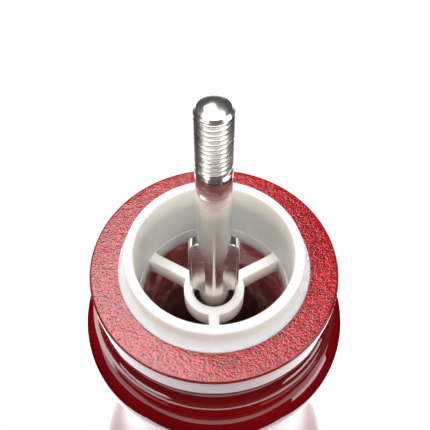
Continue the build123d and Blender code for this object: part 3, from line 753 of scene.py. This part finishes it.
def make_pockets():
    """The four spaces coined away beside the rib, with slanting ends."""
    low = (RIB_HALF, -4, WING_BOTTOM)
    high = (SHAFT_RADIUS + 0.1, -WING_THICKNESS / 2, WING_TOP)
    first = block("rib_pocket", low, high)
    select_parts(first, vertices=lambda v: v.x < RIB_HALF + 0.01 and v.z > TOP)
    bpy.ops.transform.translate(value=(0, 0, -RIB_TAPER * MM))
    select_parts(first, vertices=lambda v: v.x < RIB_HALF + 0.01 and v.z < TOP)
    bpy.ops.transform.translate(value=(0, 0, RIB_TAPER / 2 * MM))
    bpy.ops.object.mode_set(mode="OBJECT")
    flips = ((-1, 1, 1), (1, -1, 1), (-1, -1, 1))
    return join([first] + [flipped_copy(first, flip) for flip in flips])


def make_shaft():
    """Turned bar with dome, undercut and fine lines; thread, wings and square are added to it."""
    dome_height = SHAFT_TIP - DOME_FOOT[1]
    sphere = (DOME_FOOT[0] ** 2 + dome_height ** 2) / (2 * dome_height)
    half = math.asin(DOME_FOOT[0] / sphere) / 2
    dome_mid = (sphere * math.sin(half), SHAFT_TIP - sphere * (1 - math.cos(half)))
    groove_low, groove_high, groove_radius = CLIP_GROOVE
    points = [
        (0, SCREW_HOLE[1]),
        SCREW_HOLE,
        (SCREW_HOLE[0], SHAFT_BOTTOM),
        (SHAFT_RADIUS, SHAFT_BOTTOM),
        (SHAFT_RADIUS, groove_low),
        (groove_radius, groove_low),
        (groove_radius, groove_high),
        (SHAFT_RADIUS, groove_high),
    ]
    for low in sorted(TURNED_LINES):
        points += [
            (SHAFT_RADIUS, low),
            (SHAFT_RADIUS - LINE_DEPTH, low + LINE_WIDTH / 3),
            (SHAFT_RADIUS - LINE_DEPTH, low + LINE_WIDTH * 2 / 3),
            (SHAFT_RADIUS, low + LINE_WIDTH),
        ]
    points += [
        (SHAFT_RADIUS, SHANK_TOP - SHANK_CHAMFER),
        (SHAFT_RADIUS - SHANK_CHAMFER, SHANK_TOP),
        (UNDERCUT_RADIUS, SHANK_TOP),
        (UNDERCUT_RADIUS, THREAD_TOP - 0.02),
        (THREAD_RADIUS - 0.02, THREAD_TOP - 0.02),
        (THREAD_RADIUS, THREAD_TOP),
        DOME_FOOT,
    ]
    points += arc(DOME_FOOT, dome_mid, (0, SHAFT_TIP), 9)
    shaft = turn_piece("turned_shaft", points, steps=96, closed=False)
    cut(shaft, make_pockets())
    flats = block("square_flats", (-5, -5, SHAFT_BOTTOM - 2), (5, 5, SQUARE_TOP))
    side = SQUARE / 2
    square = block("square", (-side, -side, 0), (side, side, SQUARE_TOP + 2))
    cut(flats, square)
    cut(shaft, flats)
    cut(shaft, make_wings(), "UNION")
    cut(shaft, make_thread(), "UNION")
    close_and_face_out(shaft)
    bpy.ops.object.shade_smooth_by_angle(angle=math.radians(14))
    return shaft


# ---- the burr spring -----------------------------------------------------------------------------
def make_spring():
    """Round wire wound up between the seat and the cap, with closed ends."""
    deselect()
    rise = SPRING_TOP - SPRING_BOTTOM - 2 * WIRE_RADIUS
    bpy.ops.mesh.primitive_circle_add(
        vertices=16, radius=WIRE_RADIUS * MM, fill_type="NOTHING",
        location=(SPRING_RADIUS * MM, 0, (SPRING_BOTTOM + WIRE_RADIUS) * MM),
        rotation=(math.radians(90), 0, 0),
    )
    spring = bpy.context.object
    spring.name = "wound_spring"
    bpy.ops.object.transform_apply(location=True, rotation=True, scale=True)
    step = spring.modifiers.new("wind", "SCREW")
    step.axis = "Z"
    step.angle = math.tau * SPRING_TURNS
    step.screw_offset = rise * MM
    step.iterations = 1
    step.steps = step.render_steps = 64 * SPRING_TURNS
    bpy.ops.object.modifier_apply(modifier=step.name)
    pick(spring)
    bpy.ops.object.mode_set(mode="EDIT")
    bpy.ops.mesh.select_all(action="SELECT")
    bpy.ops.mesh.region_to_loop()
    bpy.ops.mesh.fill_holes(sides=0)
    close_and_face_out(spring)
    bpy.ops.object.shade_smooth_by_angle(angle=math.radians(40))
    return spring


# ---- making --------------------------------------------------------------------------------------
body = make_body()
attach(body, "mill_body")
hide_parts("wood_body")

makers = {
    "white_plastic": white_plastic,
    "dark_plastic": black_plastic,
    "shaft_steel": turned_steel,
    "burr_steel": hardened_steel,
    "spring_steel": drawn_wire,
    "plated_steel": zinc_plate,
    "bronze": bearing_bronze,
}
materials = {name: make() for name, make in makers.items()}
record = frame["record"]
body_of = {n: b for b, ns in record["behaviour"]["bodies"].items() for n in ns}
slot_of = {row["node"]: row["material_slot"] for row in record["subparts"]}
built = {
    "filling_collar": make_collar,
    "drive_shaft": make_shaft,
    "burr_spring": make_spring,
}
for node in sorted(frame["nodes"]):
    if node == "wood_body":
        continue
    slot = slot_of[node]
    piece = built[node]() if node in built else merged_copy(node)
    dress(piece, materials[slot])
    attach(piece, body_of[node])
    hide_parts(node)
    if node == "burr_spring":
        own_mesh(piece)


# ---- floor, light and camera ---------------------------------------------------------------------
def glow(name, strength):
    """Plain white emission."""
    material = bpy.data.materials.new(name)
    material.use_nodes = True
    tree = material.node_tree
    tree.nodes.clear()
    emission = tree.nodes.new("ShaderNodeEmission")
    emission.inputs["Color"].default_value = (1, 1, 1, 1)
    emission.inputs["Strength"].default_value = strength
    output = tree.nodes.new("ShaderNodeOutputMaterial")
    tree.links.new(emission.outputs[0], output.inputs["Surface"])
    return material


def softbox(name, place, aim, width, height, strength):
    """Glowing panel that lights and is reflected, but is hidden from the camera."""
    deselect()
    turn = (Vector(aim) - Vector(place)).to_track_quat("-Z", "Y")
    bpy.ops.mesh.primitive_plane_add(size=1, location=place, rotation=turn.to_euler())
    panel = bpy.context.object
    panel.name = name
    panel.scale = (width, height, 1)
    bpy.ops.object.transform_apply(location=True, rotation=True, scale=True)
    panel.data.materials.append(glow(name, strength))
    panel.visible_camera = False


def dark_card(name, place, width, height):
    """Black card lying on the floor, reflected but hidden from the camera."""
    above = (place[0], place[1], 1)
    softbox(name, place, above, width, height, 0.0)


deselect()
bpy.ops.mesh.primitive_plane_add(size=6)
floor = bpy.context.object
floor.name = "floor"
pale = Finish("pale_floor", (0.9, 0.9, 0.9), 0.9)
pale.set("Specular IOR Level", 0.0)
pale.set("Emission Color", (1, 1, 1, 1))
pale.set("Emission Strength", 1.5)
pale.colour(pale.ramp(pale.noise(400, 2, 0.5), (0.3, 0.88), (0.7, 0.92)))
floor.data.materials.append(pale.material)
floor.visible_camera = False  # it lights the lacquer, and leaves the view from below open


def make_studio_world():
    """White where it is seen directly; for light and reflections a dim ceiling over dark walls."""
    world = bpy.data.worlds.new("studio")
    world.use_nodes = True
    tree = world.node_tree
    shown = tree.nodes["Background"]
    shown.inputs["Color"].default_value = (1, 1, 1, 1)
    room = tree.nodes.new("ShaderNodeBackground")
    direction = tree.nodes.new("ShaderNodeTexCoord")
    parts = tree.nodes.new("ShaderNodeSeparateXYZ")
    ramp = tree.nodes.new("ShaderNodeValToRGB")
    low, high = ramp.color_ramp.elements
    low.position, low.color = 0.62, (0.06, 0.06, 0.06, 1)
    high.position, high.color = 0.86, (0.25, 0.25, 0.25, 1)
    tree.links.new(direction.outputs["Generated"], parts.inputs[0])
    tree.links.new(parts.outputs["Z"], ramp.inputs["Fac"])
    tree.links.new(ramp.outputs["Color"], room.inputs["Color"])
    path = tree.nodes.new("ShaderNodeLightPath")
    mix = tree.nodes.new("ShaderNodeMixShader")
    tree.links.new(path.outputs["Is Camera Ray"], mix.inputs["Fac"])
    tree.links.new(room.outputs[0], mix.inputs[1])
    tree.links.new(shown.outputs[0], mix.inputs[2])
    tree.links.new(mix.outputs[0], tree.nodes["World Output"].inputs["Surface"])
    bpy.context.scene.world = world


make_studio_world()
COLLAR_CENTRE = (0, 0, 0.11)
dark_card("front_card", (0, -0.29, 0.001), 0.9, 0.42)
dark_card("left_card", (-0.30, 0.02, 0.001), 0.44, 0.20)
dark_card("right_card", (0.30, 0.02, 0.001), 0.44, 0.20)
softbox("high_softbox", (-0.17, 0.40, 0.92), (-0.17, 0.40, 0), 0.38, 0.48, 9.0)
softbox("overhead_softbox", (0, 0.02, 0.95), (0, 0.02, 0), 0.9, 0.45, 5.5)
softbox("left_softbox", (-0.35, -0.20, 0.56), COLLAR_CENTRE, 0.34, 0.12, 8.0)
softbox("right_softbox", (0.49, -0.12, 0.445), COLLAR_CENTRE, 0.38, 0.12, 8.0)
softbox("low_softbox", (0.25, -0.10, 0.028), (0, 0, 0.028), 0.16, 0.042, 5.0)

camera = bpy.data.objects.new("camera", bpy.data.cameras.new("camera"))
bpy.context.scene.collection.objects.link(camera)
bpy.context.scene.camera = camera
camera.location = (0, -0.0531, 0.20369)
camera.rotation_euler = (math.radians(36.16), 0, 0)
camera.data.sensor_width = 36
camera.data.lens = 53.83
camera.data.shift_x = 0.0023
camera.data.clip_start = 0.005
camera.data.dof.use_dof = False
bpy.context.scene.view_settings.view_transform = "Standard"
